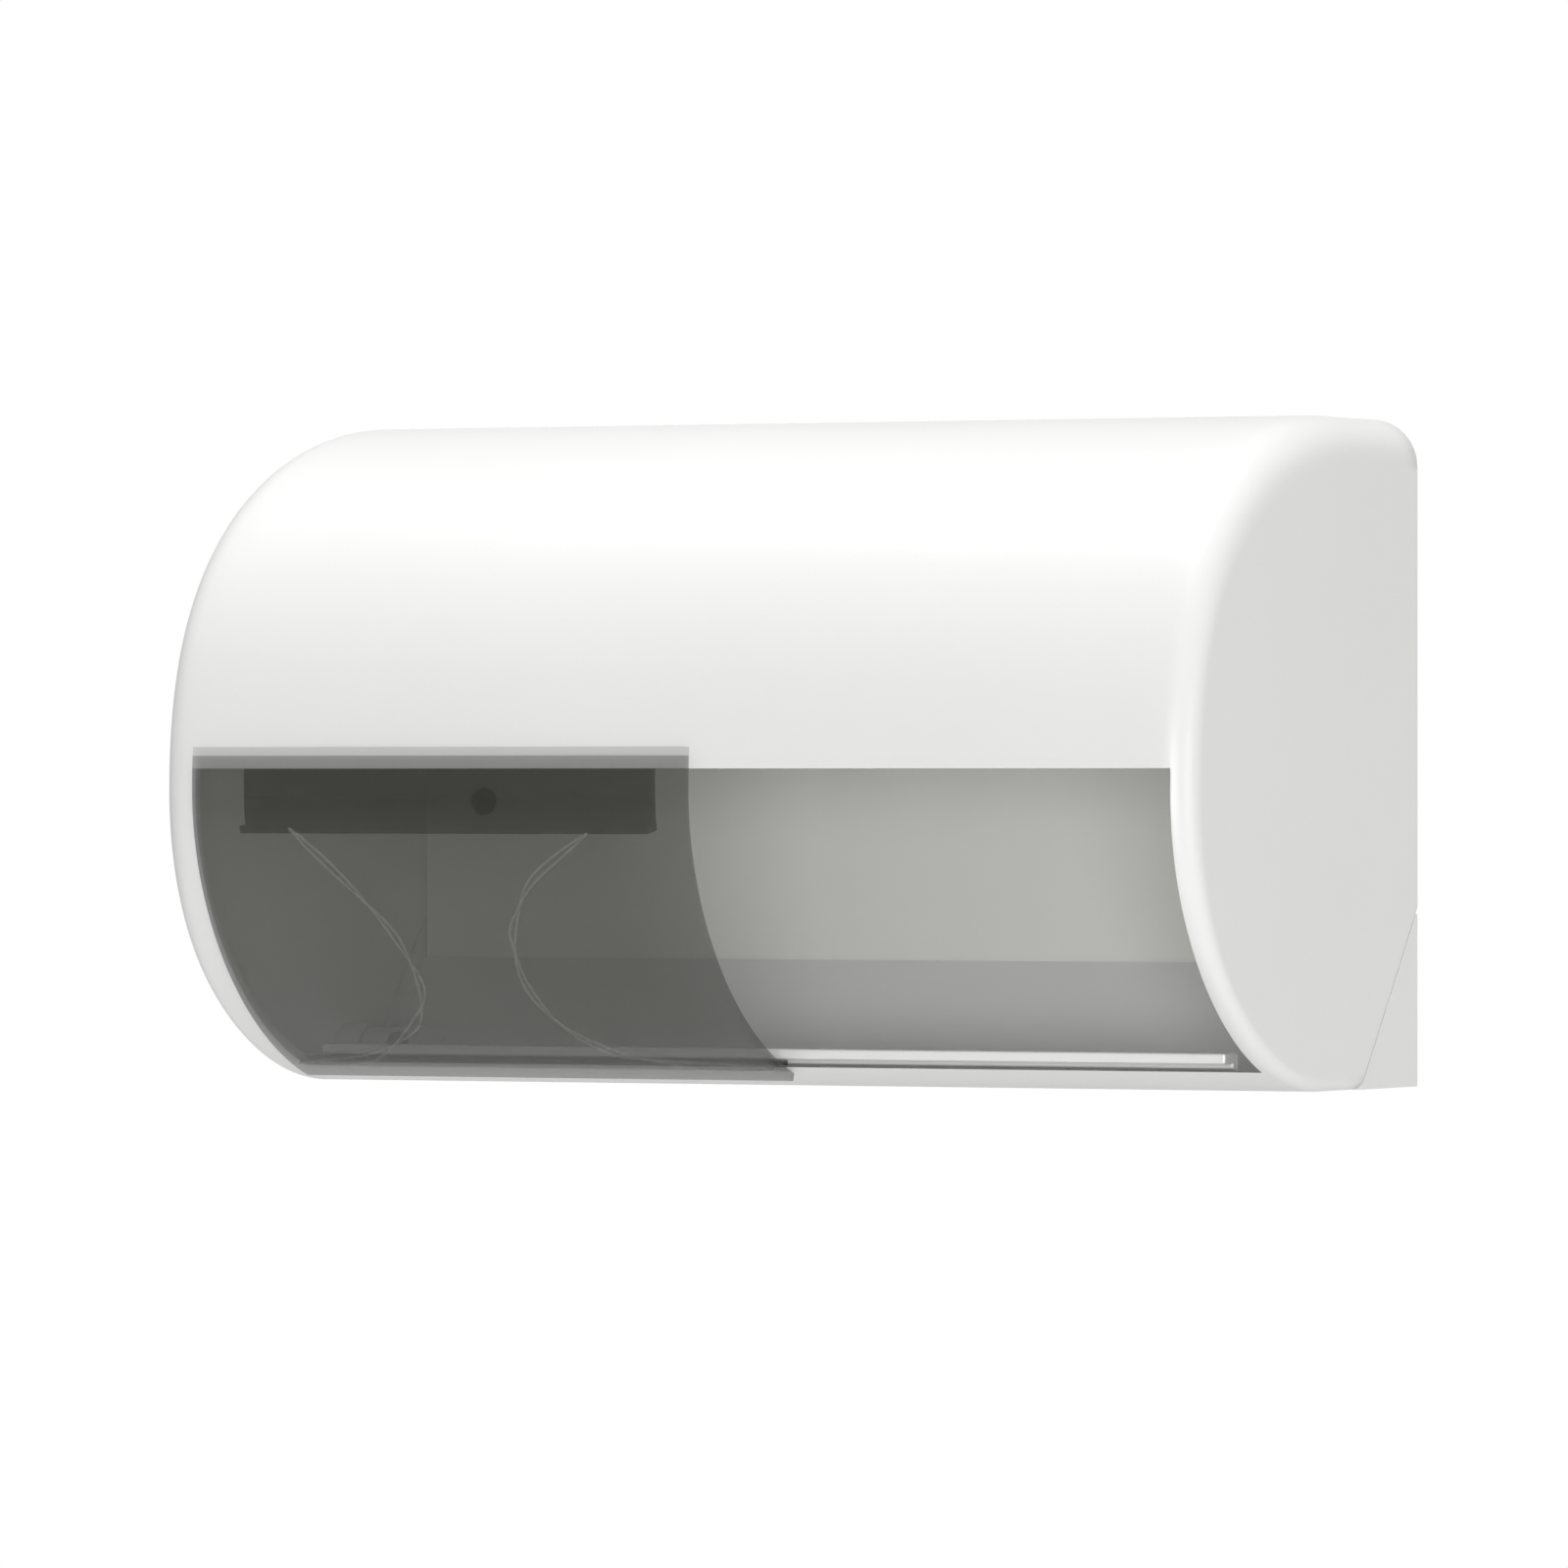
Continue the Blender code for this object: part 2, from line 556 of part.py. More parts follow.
def make_wall_fixings(steel, black, plated):
    low_y = -PLATE
    for name, side in (("left", -1), ("right", 1)):
        low, high = ear_span(side)
        # hinge pin: head inside the ear, shank out into the hood's boss
        shank = high - low + BOSS_LENGTH + EASE + 0.0002
        head = 0.0016
        profile = [(0, shank), (PIN_RADIUS - 0.0004, shank), (PIN_RADIUS, shank - 0.0004), (PIN_RADIUS, -FIT),
                   (PIN_RADIUS + 0.0015, -FIT), (PIN_RADIUS + 0.0015, -FIT - head), (0, -FIT - head)]
        pin = turned("hinge_pin_" + name, profile, (0, 0, 0), closed=False, sides=24)
        turn = Matrix() if side > 0 else Matrix.Rotation(pi, 4, "Z")
        inner_x = low if side > 0 else high
        pin.matrix_local = Matrix.Translation((inner_x, -HINGE_DEPTH, HINGE_HEIGHT)) @ turn @ AIM["X"]
        as_part(pin, steel)
        for level, height in (("low", HOLE_LOW), ("high", HOLE_HIGH)):
            place = (side * (HALF - HOLE_X), low_y, height)
            stem = HOLE_RADIUS - FIT / 2
            plug = turned(f"hole_plug_{level}_{name}",
                          [(0, PLATE - 0.0004), (stem - 0.0003, PLATE - 0.0004), (stem, PLATE - 0.001),
                           (stem, -FIT), (HOLE_RADIUS + 0.0008, -FIT), (HOLE_RADIUS + 0.0006, -FIT - 0.0006),
                           (0, -FIT - 0.0009)], place, "Y", closed=False, sides=20)
            as_part(plug, black)
        # these two go in from the back of the wall plate, heads sunk in it
        reach = -PLATE * 0.55
        sunk = turned("base_screw_" + name, [(0, 0.0013), (SCREW_HEAD, 0.0013), (SCREW_HEAD, FIT),
                                             (SCREW_RADIUS, FIT), (SCREW_RADIUS, -0.0072),
                                             (0, -0.0078)],
                      (side * BASE_SCREW_X, reach, BASE_SCREW_Z), "Y", closed=False, sides=20)
        as_part(sunk, steel)
        screw("bracket_screw_" + name, (side * 0.013, low_y - 2 * FIT - 0.003, AXLE_HEIGHT + 0.004), 0.0056,
              steel)
    for number, height in enumerate(strike_screw_heights()):
        screw(f"strike_screw_{number + 1}", (0, low_y - 2 * FIT - 0.0015, height), 0.0041, steel)


def make_strike(finish):
    rear = -PLATE - FIT
    shelf = strike_shelf()
    wall = 0.0015
    post_y = -LOCK_DEPTH + HOOK_REACH
    front = post_y - POST_RADIUS - 0.003
    outline = [(rear, shelf - STRIKE_DROP), (rear, shelf), (front, shelf), (front, shelf - wall),
               (rear - wall, shelf - wall), (rear - wall, shelf - STRIKE_DROP)]
    strike = extruded("strike_bracket", outline, -0.009, 0.009)
    post_top = BODY_HEIGHT - LOCK_DROP - EASE + 0.001
    join_on(strike, rod("strike_post", POST_RADIUS, (0, post_y, shelf - wall / 2),
                        post_top - shelf + wall / 2, "Z", 24))
    for number, height in enumerate(strike_screw_heights()):
        drill(strike, f"strike_hole_{number + 1}", SCREW_RADIUS + FIT, (0, rear - wall - 0.001, height),
              wall + 0.002, "Y", 16)
    return as_part(strike, finish)


# ---------- roll carrier ----------
def make_bracket(finish):
    rear = -PLATE - FIT
    flange = 0.003
    foot = AXLE_HEIGHT - BRACKET_BOSS - 0.003
    head = strike_shelf() - STRIKE_DROP - 0.002
    bracket = box("spindle_bracket", (-0.020, rear - flange, foot), (0.020, rear, head))
    arm = [(rear - flange / 2, foot + 0.002), (rear - flange / 2, head - 0.003),
           (rear - 0.022, head - 0.003), (-AXLE_DEPTH + 0.010, AXLE_HEIGHT + BRACKET_BOSS * 0.8),
           (-AXLE_DEPTH, AXLE_HEIGHT + BRACKET_BOSS * 0.5), (-AXLE_DEPTH, AXLE_HEIGHT - BRACKET_BOSS * 0.9),
           (rear - 0.020, AXLE_HEIGHT - BRACKET_BOSS * 0.9)]
    join_on(bracket, extruded("bracket_arm", arm, -BRACKET_WALL / 2, BRACKET_WALL / 2))
    boss = BRACKET_WALL / 2 + 0.001
    join_on(bracket, rod("bracket_boss", BRACKET_BOSS, (-boss, -AXLE_DEPTH, AXLE_HEIGHT), 2 * boss))
    drill(bracket, "axle_hole", AXLE_RADIUS + FIT / 2, (-0.02, -AXLE_DEPTH, AXLE_HEIGHT), 0.04)
    for name, side in (("left", -1), ("right", 1)):
        drill(bracket, "bracket_hole_" + name, SCREW_RADIUS + FIT,
              (side * 0.013, rear - flange - 0.001, AXLE_HEIGHT + 0.004), flange + 0.002, "Y", 16)
    return as_part(bracket, finish)


def make_spindles(grey, nylon, steel):
    boss = BRACKET_WALL / 2 + 0.001
    start = boss + FIT + WASHER + FIT
    cap_flange = 0.0015
    nose = 0.0055
    end = start + SPINDLE_LENGTH
    clip_at = end + FIT + cap_flange + nose + FIT
    axle_half = clip_at + CLIP + 0.0015
    axle = rod("spindle_axle", AXLE_RADIUS, (-axle_half, -AXLE_DEPTH, AXLE_HEIGHT), 2 * axle_half)
    soften(axle, 0.0006)
    as_part(axle, steel)
    run = AXLE_RADIUS + FIT / 2
    bush = run + BUSH_WALL
    seat = bush + FIT / 2
    for name, side in (("left", -1), ("right", 1)):
        turn = Matrix() if side > 0 else Matrix.Rotation(pi, 4, "Z")
        frame = Matrix.Translation((0, -AXLE_DEPTH, AXLE_HEIGHT)) @ turn @ AIM["X"]

        def ring(title, inner, outer, low, high, finish):
            made = turned(title, [(inner, high), (outer, high), (outer, low), (inner, low)], (0, 0, 0))
            made.matrix_local = frame
            return as_part(made, finish)

        ring("thrust_washer_" + name, run, 0.0085, boss + FIT, boss + FIT + WASHER, nylon)
        bore = SPINDLE_RADIUS - SPINDLE_WALL
        web = start + 0.0025
        hub = start + 0.014
        bead = 0.0009
        outer = [(SPINDLE_RADIUS, end), (SPINDLE_RADIUS, end - 0.006), (SPINDLE_RADIUS + bead, end - 0.008),
                 (SPINDLE_RADIUS, end - 0.010), (SPINDLE_RADIUS, start + 0.003),
                 (SPINDLE_RADIUS + 0.003, start + 0.0018), (SPINDLE_RADIUS + 0.003, start)]
        inside = [(seat, start), (seat, hub), (seat + 0.002, hub), (seat + 0.002, web), (bore, web), (bore, end)]
        spindle = turned("spindle_" + name, outer + inside, (0, 0, 0))
        spindle.matrix_local = frame
        as_part(spindle, grey)
        ring("spindle_bush_" + name, run, bush, start + 0.0004, hub, nylon)
        spigot = bore - FIT
        flat = end + FIT
        cap = turned("spindle_cap_" + name,
                     [(run, flat + cap_flange + nose), (0.0085, flat + cap_flange + nose),
                      (SPINDLE_RADIUS - 0.0025, flat + cap_flange + 0.001), (SPINDLE_RADIUS, flat + cap_flange),
                      (SPINDLE_RADIUS, flat), (spigot, flat), (spigot, flat - 0.007), (spigot - 0.002, flat - 0.007),
                      (spigot - 0.002, flat), (run, flat)], (0, 0, 0))
        cap.matrix_local = frame
        as_part(cap, grey)
        ring("axle_clip_" + name, AXLE_RADIUS + FIT / 2, 0.0068, clip_at, clip_at + CLIP, steel)


# ---------- shutter ----------
def shutter_span():
    return -TRAVEL_EDGE, SHUTTER_LAP


def make_shutter(smoke):
    low, high = shutter_span()
    outer = skin_band(SHUTTER_TOP, SHUTTER_FOOT, SHUTTER_GAP + SHUTTER_WALL, 22)
    inner = skin_band(SHUTTER_TOP, SHUTTER_FOOT, SHUTTER_GAP, 22)
    panel = extruded("shutter_panel", outer + list(reversed(inner)), low, high)
    as_part(panel, smoke)

    # hook behind the upper edge of the opening: a ledge through it and a wall up behind the skin
    behind = -HOOD_WALL - EASE
    face = skin_band(RETAINER_TOP, RETAINER_FOOT + RETAINER_WALL, behind, 5)
    ledge = [tuple(skin_at(RETAINER_FOOT + RETAINER_WALL, 0)), tuple(skin_at(RETAINER_FOOT, 0))]
    back = skin_band(RETAINER_TOP, RETAINER_FOOT, behind - RETAINER_WALL, 6)
    retainer = extruded("shutter_retainer", face + ledge + list(reversed(back)),
                        low + RETAINER_INSET, high - RETAINER_INSET)
    as_part(retainer, smoke)

    # blade in the slot under the rail's lip
    gap = (RAIL_TOP - RAIL_LIP - OPENING_FOOT - RUNNER_WALL) / 2
    foot = OPENING_FOOT + gap
    head = foot + RUNNER_WALL
    back_end = -RAIL_POST_DEPTH - EASE
    outline = [tuple(skin_at(foot, 0.00005)), tuple(skin_at(head, 0.00005)), (back_end, head), (back_end, foot)]
    runner = extruded("shutter_runner", outline, low + 0.003, high - 0.003)
    as_part(runner, smoke)


# ---------- assembly ----------
clear_scene()
parts = new_collection("twin_roll_dispenser")
cutters = new_collection("cutters")
rig = bpy.data.objects.new("wall_datum", None)
rig.location = (0, 0, -MOUNT_HEIGHT)
parts.objects.link(rig)

white_abs = material("white_abs", (0.90, 0.90, 0.89), 0.28)
rail_white = material("rail_white", (0.93, 0.93, 0.92), 0.25)
plate_white = material("plate_white", (0.78, 0.78, 0.75), 0.45)
smoke_pc = material("smoke_polycarbonate", (0.24, 0.24, 0.22), 0.10, alpha=0.62)
grey_pom = material("grey_acetal", (0.42, 0.43, 0.44), 0.40)
natural_nylon = material("natural_nylon", (0.80, 0.78, 0.70), 0.50)
black_nylon = material("black_nylon", (0.02, 0.02, 0.02), 0.50)
zinc_steel = material("zinc_plated_steel", (0.66, 0.67, 0.68), 0.32, 1.0)
nickel = material("nickel_plate", (0.72, 0.70, 0.66), 0.22, 1.0)

make_hood(white_abs)
make_rail(rail_white)
make_lock(nickel, zinc_steel)
make_wall_plate(plate_white)
make_hinge_base(white_abs)
make_wall_fixings(zinc_steel, black_nylon, nickel)
make_strike(zinc_steel)
make_bracket(grey_pom)
make_spindles(grey_pom, natural_nylon, zinc_steel)
make_shutter(smoke_pc)
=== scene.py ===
import bpy
import json
from math import sin, cos, pi, radians
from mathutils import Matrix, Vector


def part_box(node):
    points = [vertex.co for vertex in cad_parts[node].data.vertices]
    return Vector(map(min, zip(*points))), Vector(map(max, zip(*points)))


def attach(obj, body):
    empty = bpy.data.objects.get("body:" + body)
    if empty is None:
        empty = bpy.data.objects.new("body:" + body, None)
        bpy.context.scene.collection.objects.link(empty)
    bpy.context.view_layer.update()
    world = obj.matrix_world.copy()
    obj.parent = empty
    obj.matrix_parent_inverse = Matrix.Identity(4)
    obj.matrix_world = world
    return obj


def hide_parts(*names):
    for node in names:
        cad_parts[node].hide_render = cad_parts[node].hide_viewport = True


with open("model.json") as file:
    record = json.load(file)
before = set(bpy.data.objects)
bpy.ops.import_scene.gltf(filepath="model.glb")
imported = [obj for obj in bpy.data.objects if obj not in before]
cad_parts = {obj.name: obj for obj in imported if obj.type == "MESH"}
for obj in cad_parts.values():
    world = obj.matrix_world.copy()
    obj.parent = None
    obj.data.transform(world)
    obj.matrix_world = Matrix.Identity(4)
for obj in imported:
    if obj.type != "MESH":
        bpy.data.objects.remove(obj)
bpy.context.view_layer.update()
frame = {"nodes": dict(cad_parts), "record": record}        # nodes and the imported record
nodes = frame["nodes"]
groundLine = -0.095      # the underside of the hood; heights below are measured up from it


# selection, edit mode, modifiers and the last steps of a piece
def deselectAll():
    if bpy.context.object and bpy.context.object.mode != "OBJECT":
        bpy.ops.object.mode_set(mode="OBJECT")
    bpy.ops.object.select_all(action="DESELECT")


def activate(piece):
    deselectAll()
    piece.select_set(True)
    bpy.context.view_layer.objects.active = piece


def inEditMode(piece, keep, kind="VERT"):
    # opens the piece for editing with the elements that keep() says selected
    activate(piece)
    bpy.ops.object.mode_set(mode="EDIT")
    bpy.ops.mesh.select_mode(type=kind)
    bpy.ops.mesh.select_all(action="DESELECT")
    bpy.ops.object.mode_set(mode="OBJECT")
    for item in {"VERT": piece.data.vertices, "EDGE": piece.data.edges, "FACE": piece.data.polygons}[kind]:
        item.select = bool(keep(item))
    bpy.ops.object.mode_set(mode="EDIT")


def leaveEditMode():
    bpy.ops.object.mode_set(mode="OBJECT")


def addModifier(piece, kind, **settings):
    activate(piece)
    modifier = piece.modifiers.new(kind.lower(), kind)
    for name, value in settings.items():
        setattr(modifier, name, value)
    bpy.ops.object.modifier_apply(modifier=modifier.name)


def settle(piece):
    # place, turn and scale go into the mesh, so that the object sits at the origin
    activate(piece)
    bpy.ops.object.transform_apply(location=True, rotation=True, scale=True)


def cutAway(piece, cutter):
    addModifier(piece, "BOOLEAN", operation="DIFFERENCE", solver="EXACT", object=cutter)
    bpy.data.objects.remove(cutter, do_unlink=True)


def boxCutter(low, high):
    deselectAll()
    middle = [(a + b) / 2 for a, b in zip(low, high)]
    bpy.ops.mesh.primitive_cube_add(size=1, location=middle, scale=[b - a for a, b in zip(low, high)])
    settle(bpy.context.object)
    return bpy.context.object


def joinInto(piece, others):
    activate(piece)
    for other in others:
        other.select_set(True)
    bpy.ops.object.join()
    return piece


def finishPiece(piece, name, material, body, stands=(), smoothAngle=35):
    piece.name = name
    piece.data.name = name
    if material:
        piece.data.materials.clear()
        piece.data.materials.append(material)
    settle(piece)
    bpy.ops.object.shade_smooth_by_angle(angle=radians(smoothAngle))
    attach(piece, body)
    if stands:
        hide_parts(*stands)
    return piece


# materials, from plastic and metal as they come off the tool
def linearColour(hexText):
    parts = [int(hexText[i:i + 2], 16) / 255 for i in (0, 2, 4)]
    return tuple(c / 12.92 if c <= 0.04045 else ((c + 0.055) / 1.055) ** 2.4 for c in parts) + (1.0,)


def addNode(material, kind, settings=None, inputs=None, links=None):
    # one node: its own settings, constant input values, and links from (node, output) pairs
    node = material.node_tree.nodes.new(kind)
    for name, value in (settings or {}).items():
        setattr(node, name, value)
    for name, value in (inputs or {}).items():
        node.inputs[name].default_value = value
    for name, (source, output) in (links or {}).items():
        material.node_tree.links.new(source.outputs[output], node.inputs[name])
    return node


def startMaterial(name):
    material = bpy.data.materials.new(name)
    material.use_nodes = True
    material.node_tree.nodes.clear()
    return material


def mouldedPlastic(name, look):
    # injection-moulded plastic: fine spark-eroded grain from the tool, and a faint drift of tone
    material = startMaterial(name)
    place = addNode(material, "ShaderNodeTexCoord")
    drift = addNode(material, "ShaderNodeTexNoise", inputs={"Scale": 1000 / look["driftMm"], "Detail": 2.0},
                    links={"Vector": (place, "Object")})
    tone = addNode(material, "ShaderNodeMix", {"data_type": "RGBA"}, links={"Factor": (drift, "Fac")})
    tone.inputs[6].default_value = linearColour(look["colour"])
    tone.inputs[7].default_value = linearColour(look["colourDeep"])
    grain = addNode(material, "ShaderNodeTexNoise", inputs={"Scale": 1000 / look["grainMm"], "Detail": 3.0,
                    "Roughness": 0.6}, links={"Vector": (place, "Object")})
    rough = addNode(material, "ShaderNodeMapRange", inputs={"From Min": 0.3, "From Max": 0.7,
                    "To Min": look["roughness"] - look["roughSpread"],
                    "To Max": look["roughness"] + look["roughSpread"]}, links={"Value": (grain, "Fac")})
    bump = addNode(material, "ShaderNodeBump", inputs={"Strength": look["bump"], "Distance": look["grainMm"] / 4000},
                   links={"Height": (grain, "Fac")})
    surface = addNode(material, "ShaderNodeBsdfPrincipled", inputs={"IOR": look["ior"]},
                      links={"Base Color": (tone, 2), "Roughness": (rough, "Result"), "Normal": (bump, "Normal")})
    if look.get("alpha") is not None:
        surface.inputs["Alpha"].default_value = look["alpha"]
    addNode(material, "ShaderNodeOutputMaterial", links={"Surface": (surface, "BSDF")})
    return material


def metalFinish(name, look):
    # plated or turned metal: a clear colour, streaks left by the tool, and a little uneven gloss
    material = startMaterial(name)
    place = addNode(material, "ShaderNodeTexCoord")
    stretch = addNode(material, "ShaderNodeMapping", inputs={"Scale": look["stretch"]},
                      links={"Vector": (place, "Object")})
    streak = addNode(material, "ShaderNodeTexNoise", inputs={"Scale": 1000 / look["streakMm"], "Detail": 3.0},
                     links={"Vector": (stretch, "Vector")})
    tone = addNode(material, "ShaderNodeMix", {"data_type": "RGBA"}, links={"Factor": (streak, "Fac")})
    tone.inputs[6].default_value = linearColour(look["colour"])
    tone.inputs[7].default_value = linearColour(look["colourDeep"])
    rough = addNode(material, "ShaderNodeMapRange", inputs={"From Min": 0.3, "From Max": 0.7,
                    "To Min": look["roughness"] - 0.06, "To Max": look["roughness"] + 0.08},
                    links={"Value": (streak, "Fac")})
    bump = addNode(material, "ShaderNodeBump", inputs={"Strength": 0.15, "Distance": 0.00004},
                   links={"Height": (streak, "Fac")})
    surface = addNode(material, "ShaderNodeBsdfPrincipled", inputs={"Metallic": 1.0},
                      links={"Base Color": (tone, 2), "Roughness": (rough, "Result"), "Normal": (bump, "Normal")})
    addNode(material, "ShaderNodeOutputMaterial", links={"Surface": (surface, "BSDF")})
    return material


# satin white ABS off a fine-grained mould: soft highlights, no visible speckle at arm's length
whiteAbs = mouldedPlastic("whiteMouldedAbs", {"colour": "F2F2F1", "colourDeep": "EEEEED", "driftMm": 60,
    "grainMm": 0.7, "roughness": 0.34, "roughSpread": 0.05, "bump": 0.12, "ior": 1.53})
# smoother white for the rail, polished in the tool so the shutter slides on it
railWhite = mouldedPlastic("whitePolishedAbs", {"colour": "F8F8F7", "colourDeep": "F3F3F2", "driftMm": 40,
    "grainMm": 0.5, "roughness": 0.2, "roughSpread": 0.03, "bump": 0.04, "ior": 1.53})
# off-white polystyrene back, coarser grain and duller than the hood
plateWhite = mouldedPlastic("offWhiteTexturedPlate", {"colour": "F4F5EF", "colourDeep": "EFF0E9", "driftMm": 45,
    "grainMm": 0.8, "roughness": 0.5, "roughSpread": 0.07, "bump": 0.12, "ior": 1.59})
# smoked polycarbonate: grey-olive tint, glossy, a good half of the light comes through each face
smokeSheet = mouldedPlastic("smokedPolycarbonate", {"colour": "42433A", "colourDeep": "3D3E35", "driftMm": 80,
    "grainMm": 3.0, "roughness": 0.1, "roughSpread": 0.02, "bump": 0.01, "ior": 1.58, "alpha": 0.4})
# the same sheet at its thin lip, nearly clear; and a band just below the lip made clearer as painted light, making
# up for light dimmed on its way through the sheet to the hood behind
smokeLip = mouldedPlastic("smokedPolycarbonateThin", {"colour": "4A4A45", "colourDeep": "444440", "driftMm": 80,
    "grainMm": 3.0, "roughness": 0.12, "roughSpread": 0.02, "bump": 0.01, "ior": 1.58, "alpha": 0.1})
smokeBandPaintedLight = mouldedPlastic("smokedPolycarbonateBandPaintedLight", {"colour": "42423D", "colourDeep": "3C3C37", "driftMm": 80,
    "grainMm": 3.0, "roughness": 0.12, "roughSpread": 0.02, "bump": 0.01, "ior": 1.58, "alpha": 0.27})
# the same sheet where the hook piece doubles it, deeper in tone
smokeHook = mouldedPlastic("smokedPolycarbonateHook", {"colour": "10100E", "colourDeep": "0D0D0B", "driftMm": 80,
    "grainMm": 3.0, "roughness": 0.14, "roughSpread": 0.02, "bump": 0.01, "ior": 1.58, "alpha": 0.5})
# the moulded-in beads, coloured light grey as a painted highlight for the thin line of light they catch
beadPaintedHighlight = mouldedPlastic("smokedPolycarbonateBeadPaintedHighlight", {"colour": "B4B4AE", "colourDeep": "8E8E88", "driftMm": 4,
    "grainMm": 0.5, "roughness": 0.4, "roughSpread": 0.1, "bump": 0.2, "ior": 1.4, "alpha": 0.22})
# grey acetal for the turned spindles: waxy, satin
greyAcetal = mouldedPlastic("greyAcetal", {"colour": "AEB0B1", "colourDeep": "A3A5A7", "driftMm": 30,
    "grainMm": 0.8, "roughness": 0.42, "roughSpread": 0.06, "bump": 0.15, "ior": 1.48})
# unfilled nylon: milky cream
naturalNylon = mouldedPlastic("naturalNylon", {"colour": "E6E1D2", "colourDeep": "DDD7C4", "driftMm": 12,
    "grainMm": 0.6, "roughness": 0.48, "roughSpread": 0.06, "bump": 0.12, "ior": 1.53})
# black nylon blanking plugs: dull with a slight sheen
blackNylon = mouldedPlastic("blackNylon", {"colour": "1B1B1C", "colourDeep": "242425", "driftMm": 8,
    "grainMm": 0.5, "roughness": 0.5, "roughSpread": 0.08, "bump": 0.2, "ior": 1.53})
# bright zinc on pressed and turned steel: bluish grey, short rolling streaks
zincSteel = metalFinish("zincPlatedSteel", {"colour": "CDD0D4", "colourDeep": "BDC1C6", "streakMm": 1.2,
    "stretch": (0.25, 1.0, 1.0), "roughness": 0.3})
# polished nickel on the lock: warmer and shinier than the zinc
nickelPlate = metalFinish("nickelPlate", {"colour": "D8D3C9", "colourDeep": "CFC9BD", "streakMm": 0.8,
    "stretch": (1.0, 1.0, 0.3), "roughness": 0.18})
finishes = {"white_abs": whiteAbs, "rail_white": railWhite, "plate_white": plateWhite,
            "smoke_polycarbonate": smokeSheet, "grey_acetal": greyAcetal, "natural_nylon": naturalNylon,
            "black_nylon": blackNylon, "zinc_plated_steel": zincSteel, "nickel": nickelPlate}
for part in frame["record"]["subparts"]:
    node = nodes[part["node"]]
    for spot in node.material_slots:
        spot.material = smokeHook if part["node"] == "shutter_retainer" else finishes[part["material_slot"]]
print("materials on", len(nodes), "carried-over nodes")


# the D-shaped outline, in metres: depths from the wall, heights from the underside
outline = {"depth": 0.140, "height": 0.166, "topFlat": 0.034, "underFlat": 0.0568, "frontLine": 0.0732,
           "topSquareness": 2.22, "underSquareness": 1.89, "seamFoot": 0.0357, "seamTop": 0.044,
           "seamGap": 0.0006}


def curvePoint(turn, upper):
    # depth, height and outward normal on the upper or lower quarter; turn runs 0 to 1 from the front
    flat = outline["topFlat"] if upper else outline["underFlat"]
    power = outline["topSquareness"] if upper else outline["underSquareness"]
    reach = outline["depth"] - flat
    rise = outline["height"] - outline["frontLine"] if upper else outline["frontLine"]
    up = 1 if upper else -1
    across, along = cos(turn * pi / 2) ** (2 / power), sin(turn * pi / 2) ** (2 / power)
    point = Vector((-flat - reach * across, outline["frontLine"] + up * rise * along))
    normal = Vector((-across ** (power - 1) / reach, up * along ** (power - 1) / rise))
    return point, normal.normalized()


def skinAt(height, offset=0.0):
    upper = height >= outline["frontLine"]
    rise = outline["height"] - outline["frontLine"] if upper else outline["frontLine"]
    power = outline["topSquareness"] if upper else outline["underSquareness"]
    share = abs(height - outline["frontLine"]) / rise
    low, high = 0.0, 1.0
    for _ in range(40):
        middle = (low + high) / 2
        if sin(middle * pi / 2) ** (2 / power) < share:
            low = middle
        else:
            high = middle
    point, normal = curvePoint(low, upper)
    return point + normal * offset


def easeBetween(start, end, share):
    share = min(max(share, 0.0), 1.0)
    return start + (end - start) * (3 - 2 * share) * share * share


# the hood: moulding sizes, its opening, its two hinge bosses and the lock seat
hood = {"width": 0.280, "wall": 0.0025, "roundTop": 0.012, "roundFront": 0.0073, "roundUnder": 0.0035,
        "roundSeam": 0.0032, "roundColumns": 8, "flatColumns": 36, "curveRows": 42, "flatRows": 5,
        "openingTop": 0.0790, "openingFoot": 0.0052, "openingLeft": 0.0105, "openingRight": 0.005,
        "hingeDepth": 0.046, "hingeHeight": 0.008, "bossRadius": 0.006, "bossLength": 0.0065,
        "pinHole": 0.00275, "earWidth": 0.007, "ease": 0.0005, "lockDepth": 0.030, "lockHole": 0.008,
        "lockSeat": 0.0108, "seatDepth": 0.0014, "edge": 0.0004, "bossEdge": 0.0003, "endInset": 0.0006}


def hoodRows():
    # every row across the hood: depth and height, normal, and how wide its end rounding is
    rows = []
    for step in range(hood["flatRows"]):
        depth = -outline["topFlat"] * step / hood["flatRows"]
        rows.append((Vector((depth, outline["height"])), Vector((0, 1)), hood["roundTop"]))
    for step in range(hood["curveRows"], -1, -1):
        point, normal = curvePoint(step / hood["curveRows"], True)
        width = easeBetween(hood["roundFront"], hood["roundTop"], step / hood["curveRows"] * 1.4 - 0.3)
        rows.append((point, normal, width))
    for step in range(1, hood["curveRows"] + 1):
        share = step / hood["curveRows"]
        point, normal = curvePoint(share, False)
        width = easeBetween(hood["roundFront"], hood["roundUnder"], share * 2)
        rows.append((point, normal, easeBetween(width, hood["roundSeam"], share * 2 - 1)))
    slope = outline["seamFoot"] / outline["seamTop"]
    foot = -outline["seamFoot"] - outline["seamGap"] * slope
    start = -outline["underFlat"]
    for step in range(1, 4):
        rows.append((Vector((start + (foot - start) * step / 3, 0)), Vector((0, -1)), hood["roundSeam"]))
    return rows


def seamDepth(height):
    slope = outline["seamFoot"] / outline["seamTop"]
    return -outline["seamFoot"] * (1 - height / outline["seamTop"]) - outline["seamGap"] * slope


